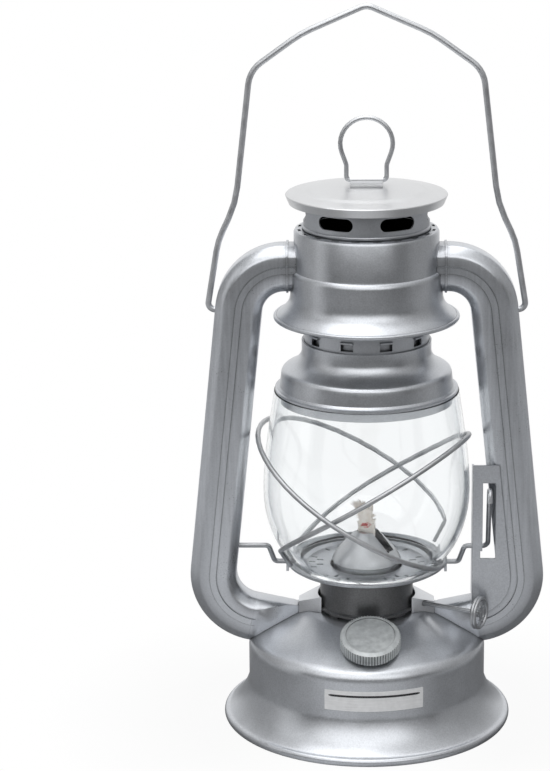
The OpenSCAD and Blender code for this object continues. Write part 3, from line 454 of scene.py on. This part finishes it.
class Wick:
    """Flat woven wick: seven cords crossed by weft, frayed where it was cut, with a red marker yarn."""

    yaw = math.radians(-27)
    across = Vector((math.cos(yaw), math.sin(yaw), 0))
    through = Vector((-math.sin(yaw), math.cos(yaw), 0))
    half_w = 3.8 * MM
    half_t = 0.8 * MM
    cords = 7
    weft = 0.95 * MM
    slot_half_w = 4.0 * MM
    slot_gap = 0.2 * MM
    fringe = 2.6 * MM
    fringe_fibres = 110
    side_fibres = 46
    marker_yarns = 44

    def __init__(self):
        self.low, self.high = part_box("wick")
        self.cone_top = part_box("burner_cone")[1].z
        self.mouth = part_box("wick_tube")[1].z - joint_range("wick_feed")[0] + 0.3 * MM
        self.top = self.high.z - self.fringe
        self.draw = random.Random(11)

    def place(self, x, y, z):
        """A point of the ribbon, which leans, narrows, curls and ends ragged above the cone."""
        free = max(0.0, z - self.cone_top) / (self.high.z - self.cone_top)
        aside = x / self.half_w
        lean = -2.0 * MM * free * free
        narrow = 1 - 0.20 * math.sin(math.pi * min(1.0, free * 1.1))
        curl = 0.9 * MM * free * free * aside
        ragged = 1.5 * (0.5 + 0.5 * aside) ** 2 + 0.35 * math.sin(5.2 * aside)
        drop = ragged * MM * max(0.0, free - 0.5) * 2
        return (x * narrow + lean) * self.across + (y + curl) * self.through + Vector((0, 0, z - drop))

    def ribbon(self, bm):
        """The woven body, a flattened oval whose skin rises over each cord and weft."""
        around = 56
        row_height = 0.24 * MM
        length = self.top - self.low.z
        rows = int(length / row_height)
        loops = []
        for row in range(rows + 1):
            z = self.low.z + length * row / rows
            points = []
            for k in range(around):
                a = math.tau * k / around
                x = self.half_w * math.copysign(abs(math.cos(a)) ** 0.55, math.cos(a))
                y = self.half_t * math.copysign(abs(math.sin(a)) ** 0.7, math.sin(a))
                cord = (x / self.half_w + 1) / 2 * self.cords
                ridge = abs(math.sin(math.pi * cord))
                pass_over = 0.5 + 0.5 * math.sin(math.tau * z / self.weft + math.pi * math.floor(cord))
                swell = 0.72 + 0.2 * ridge + 0.16 * pass_over * ridge
                points.append(self.place(x * (1 + 0.02 * pass_over), y * swell, z))
            loops.append(ring_loop(bm, points))
        skin(bm, loops)

    def frayed_end(self, bm):
        """Loose fibres that spread from the cut end."""
        draw = self.draw
        for _ in range(self.fringe_fibres):
            x = draw.uniform(-0.98, 0.98) * self.half_w
            y = draw.uniform(-0.8, 0.8) * self.half_t
            length = draw.uniform(1.2, 2.9) * MM
            start = self.place(x, y, self.top - 0.8 * MM)
            root = self.place(x, y, self.top)
            aim = Vector((draw.uniform(-0.75, 0.55), draw.uniform(-0.5, 0.5), 1.0))
            spread = aim.x * self.across + aim.y * self.through
            out = root + spread * length * 0.45 + Vector((0, 0, length * 0.4))
            tip = self.place(x, y, self.top + length) + spread * length * 0.9
            tip.z = min(tip.z, self.high.z)
            yarn(bm, curve_path((start, root, out, tip), 6), draw.uniform(0.12, 0.24) * MM, 5)

    def loose_sides(self, bm):
        """Fibres along both edges, held short where the wick can be drawn down into its tube."""
        draw = self.draw
        for _ in range(self.side_fibres):
            edge = draw.choice((-1, 1, 1))
            z = self.cone_top + draw.uniform(0.9, 7.0) * MM
            y = draw.uniform(-0.7, 0.7) * self.half_t
            length = draw.uniform(0.5, 1.5) * MM
            start = self.place(edge * 0.9 * self.half_w, y, z)
            root = self.place(edge * self.half_w, y, z + 0.1 * MM)
            drawn_in = z < self.mouth
            if drawn_in:
                length = min(length, self.slot_half_w - self.slot_gap - abs(root.dot(self.across)))
            out = root + edge * length * 0.5 * self.across + Vector((0, 0, draw.uniform(-0.1, 0.5) * MM))
            stray = draw.uniform(-0.5, 0.5) * MM * (0.2 if drawn_in else 1.0)
            tip = root + edge * length * self.across + stray * self.through
            tip.z += draw.uniform(0.0, 0.9) * MM
            yarn(bm, curve_path((start, root, out, tip), 5), draw.uniform(0.09, 0.17) * MM, 5)

    def red_marker(self, bm):
        """A small tangle of red yarn on the front, just above the cone."""
        draw = self.draw
        above_cone = 2.5
        steps = 5
        for _ in range(self.marker_yarns):
            mid = draw.gauss(0.0, 0.30) * self.half_w
            rise = self.cone_top + (above_cone + draw.gauss(0.0, 0.55)) * MM + 0.30 * mid
            half = draw.uniform(0.25, 0.7) * MM
            slope = draw.uniform(-0.2, 1.0)
            path = []
            for j in range(steps + 1):
                t = j / steps - 0.5
                lift = draw.uniform(0.0, 0.10) * MM * (1 - 4 * t * t)
                path.append(self.place(mid + 2 * half * t, -self.half_t - lift, rise + slope * half * t))
            yarn(bm, path, draw.uniform(0.10, 0.17) * MM, 6, material=1)

    def build(self):
        bm = bmesh.new()
        self.ribbon(bm)
        self.frayed_end(bm)
        self.loose_sides(bm)
        self.red_marker(bm)
        wick = new_piece("cotton_wick", bm, COTTON, RED_YARN)
        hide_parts("wick")
        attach(wick, "wick")


# the chimney's spring

def build_spring():
    """Two half coils: the upper stays with the lantern, the lower rides on the globe unit."""
    low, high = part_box("chimney_spring")
    wire = 0.5 * MM
    turns = 3.5
    steps = 90
    sides = 10
    coil_r = (high.x - low.x) / 2 - wire
    base, top = low.z + wire, high.z - wire
    climb = (top - base) / (math.tau * turns * coil_r)

    def half_coil(name, start, end):
        bm = bmesh.new()
        loops = []
        for i in range(steps + 1):
            t = start + (end - start) * i / steps
            a = math.tau * turns * t
            out = Vector((math.cos(a), math.sin(a), 0))
            ahead = Vector((-math.sin(a), math.cos(a), climb)).normalized()
            centre = coil_r * out + Vector((0, 0, base + (top - base) * t))
            loops.append(circle_loop(bm, centre, wire, out, ahead.cross(out), sides))
        skin(bm, loops)
        piece = new_piece(name, bm, DARK_WIRE)
        return piece

    upper = half_coil("spring_upper", 0.5, 1.0)
    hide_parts("chimney_spring")
    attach(upper, "lantern")
    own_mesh(upper)
    lower = half_coil("spring_lower", 0.0, 0.5)
    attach(lower, "globe_unit")
    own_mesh(lower)


# the label

def build_label():
    """The place of the label on the tank wall: a bare foil plate with a plain line for the oil level."""
    tank_r = 46.5 * MM
    left, right = -16.3 * MM, 22.4 * MM
    low, high = 18.7 * MM, 26.8 * MM
    wall_gap = 0.02 * MM
    thick = 0.16 * MM
    chamfer = 0.04 * MM
    columns = 40
    line_left, line_right = left + 1.6 * MM, right - 1.4 * MM
    line_z = 24.7 * MM
    line_half = 0.45 * MM
    line_sink = 0.05 * MM

    def on_wall(x, z, lift):
        a = x / tank_r
        r = tank_r + lift
        return Vector((r * math.sin(a), -r * math.cos(a), z))

    def plate(name, x0, x1, edges, base, lift, material):
        """A thin plate between two heights, which edges gives for each share of the way from x0 to x1."""
        bm = bmesh.new()
        loops = []
        for i in range(columns + 1):
            t = i / columns
            x = x0 + (x1 - x0) * t
            z0, z1 = edges(t)
            loops.append(ring_loop(bm, [on_wall(x, z0, base), on_wall(x, z1, base),
                                        on_wall(x, z1 - chamfer, lift), on_wall(x, z0 + chamfer, lift)]))
        skin(bm, loops)
        piece = new_piece(name, bm, material)
        split = piece.modifiers.new("crease", "EDGE_SPLIT")
        split.split_angle = SHEET_CREASE
        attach(piece, "lantern")

    def plate_edges(t):
        return low, high

    def line_edges(t):
        """The line thins out at both ends."""
        half = line_half * min(1.0, 0.4 + 20 * min(t, 1 - t))
        return line_z - half, line_z + half

    plate("label_plate", left, right, plate_edges, wall_gap, thick, FOIL)
    plate("label_line", line_left, line_right, line_edges, thick - line_sink, thick + line_sink, INK)


Wick().build()
build_spring()
build_label()


# floor, light and camera

def backdrop_rays(s, behind):
    """1 for rays that see the white backdrop: the camera's, those through glass, and metal's behind."""
    path = s.add("LightPath")
    direct = s.math("MAXIMUM", path.outputs["Is Camera Ray"], path.outputs["Is Transmission Ray"])
    return s.math("MAXIMUM", direct, s.math("MULTIPLY", path.outputs["Is Glossy Ray"], behind))


def build_floor():
    """A pale floor that keeps the soft shadow near the lantern and runs out to plain white.

    Its colour paints light and shade for metal to see: darker outwards in front, brighter outwards to the
    left and right, and brighter on the left side than the right.
    """
    half_size = 1.0
    below = 0.05 * MM
    least_away = 0.02
    bm = bmesh.new()
    bmesh.ops.create_grid(bm, x_segments=8, y_segments=8, size=half_size)
    floor = new_piece("floor", bm)
    floor.location.z = -below
    material, s, surface, where = new_material("floor_sweep")
    floor.data.materials.append(material)
    surface.inputs["Roughness"].default_value = 0.9
    surface.inputs["Specular IOR Level"].default_value = 0.1
    away = s.add("VectorMath", operation="LENGTH", in0=where).outputs["Value"]
    divisor = s.math("MAXIMUM", away, least_away)
    across = s.axis(where, "X")
    aside = s.math("ABSOLUTE", across)

    # painted shade of the floor by distance in metres: in front, to the sides, and how the two share the
    # ground; lean paints more light on the left side
    ahead = s.span(away, 0.14, 0.60, 0.62, 0.12)
    sideways = s.span(away, 0.16, 0.42, 0.16, 0.45)
    part = s.span(s.math("DIVIDE", aside, divisor), 0.40, 0.85)
    lean = s.span(s.math("DIVIDE", across, divisor), -0.25, 0.25, 1.15, 0.95)
    shade = s.math("ADD", s.math("MULTIPLY", ahead, s.math("SUBTRACT", 1.0, part)),
                   s.math("MULTIPLY", sideways, part))
    shade = s.math("MULTIPLY", shade, lean)
    s.put(surface, "Base Color", s.mix(shade, rgb(0, 0, 0), rgb(0.99, 1.0, 1.02)))

    # the share of plain white that the camera sees, with a trace of shadow under the lantern
    plain = s.span(away, 0.07, 0.13, 0.95, 1.0)
    behind = s.math("MULTIPLY", s.span(s.axis(where, "Y"), 0.15, 0.30), s.span(aside, 0.25, 0.40, 1.0, 0.0))
    white = s.add("Emission")
    white.inputs["Color"].default_value = rgb(1, 1, 1)
    blend = s.add("MixShader", Fac=s.math("MULTIPLY", plain, backdrop_rays(s, behind)),
                  in1=surface.outputs[0], in2=white.outputs[0])
    s.put(material.node_tree.nodes["Material Output"], "Surface", blend.outputs[0])


def build_world():
    """A light tent: white behind and above, dimmer on the camera's side and darkest to the left and right."""
    world = bpy.data.worlds.new("studio")
    scene.world = world
    world.use_nodes = True
    s = Shader(world.node_tree)
    way = s.add("SeparateXYZ", Vector=s.add("TexCoord").outputs["Generated"])
    # brightness by the direction looked in, whose parts run from -1 to 1
    front = s.span(way.outputs["Y"], -0.5, 0.2, 1.0, 0.0)
    gloom = s.math("MULTIPLY", front, s.span(way.outputs["Z"], 0.2, 0.48, 0.84, 0.0))
    aside = s.span(s.math("ABSOLUTE", way.outputs["X"]), 0.35, 0.85, 1.0, 0.38)
    room = s.math("MULTIPLY", s.math("SUBTRACT", 0.97, gloom), aside)
    behind = s.math("MULTIPLY", s.span(way.outputs["Y"], 0.2, 0.4), s.span(aside, 0.7, 0.9))
    level = s.add("Mix", data_type="FLOAT", in0=backdrop_rays(s, behind), in2=room, in3=1.0)
    back = world.node_tree.nodes["Background"]
    back.inputs["Color"].default_value = rgb(1, 1, 1)
    s.put(back, "Strength", level.outputs[0])


def softbox(name, at, aim, width, height, radiance):
    """A flat lamp in metres, whose face shows the given radiance."""
    light = bpy.data.lights.new(name, "AREA")
    light.shape = "RECTANGLE"
    light.size, light.size_y = width, height
    light.energy = radiance * math.pi * width * height
    obj = bpy.data.objects.new(name, light)
    obj.location = at
    obj.rotation_euler = (Vector(aim) - Vector(at)).to_track_quat("-Z", "Y").to_euler()
    scene.collection.objects.link(obj)


def build_camera():
    """The photograph's camera, fitted to the lantern's outline. Pixels are those of the photograph."""
    image_w, image_h = 550, 771
    focal_px = 2700.0
    axis_column = 366.5
    tilt = math.radians(15.8)
    distance = 1.0422
    target = Vector((0, 0, 0.1347))
    data = bpy.data.cameras.new("camera")
    data.sensor_width = 36.0
    data.lens = focal_px / max(image_w, image_h) * data.sensor_width
    data.clip_start, data.clip_end = 0.05, 40.0
    camera = bpy.data.objects.new("camera", data)
    camera.location = target + distance * Vector((0, -math.cos(tilt), math.sin(tilt)))
    pan = math.atan((axis_column - image_w / 2) / focal_px)
    look = Matrix.Rotation(math.pi / 2 - tilt, 4, "X") @ Matrix.Rotation(pan, 4, "Y")
    camera.rotation_euler = look.to_euler()
    scene.collection.objects.link(camera)
    scene.camera = camera


build_floor()
build_world()
softbox("overhead", at=(-0.1, 0.04, 1.2), aim=(0, 0, 0.14), width=1.4, height=0.95, radiance=1.5)
softbox("front_high", at=(-0.1, -1.15, 0.98), aim=(0, 0, 0.12), width=2.3, height=0.85, radiance=0.82)
softbox("left_side", at=(-0.95, -0.25, 0.42), aim=(0, 0, 0.13), width=0.40, height=0.80, radiance=0.5)
softbox("right_side", at=(0.95, -0.25, 0.42), aim=(0, 0, 0.13), width=0.40, height=0.80, radiance=0.1)
build_camera()
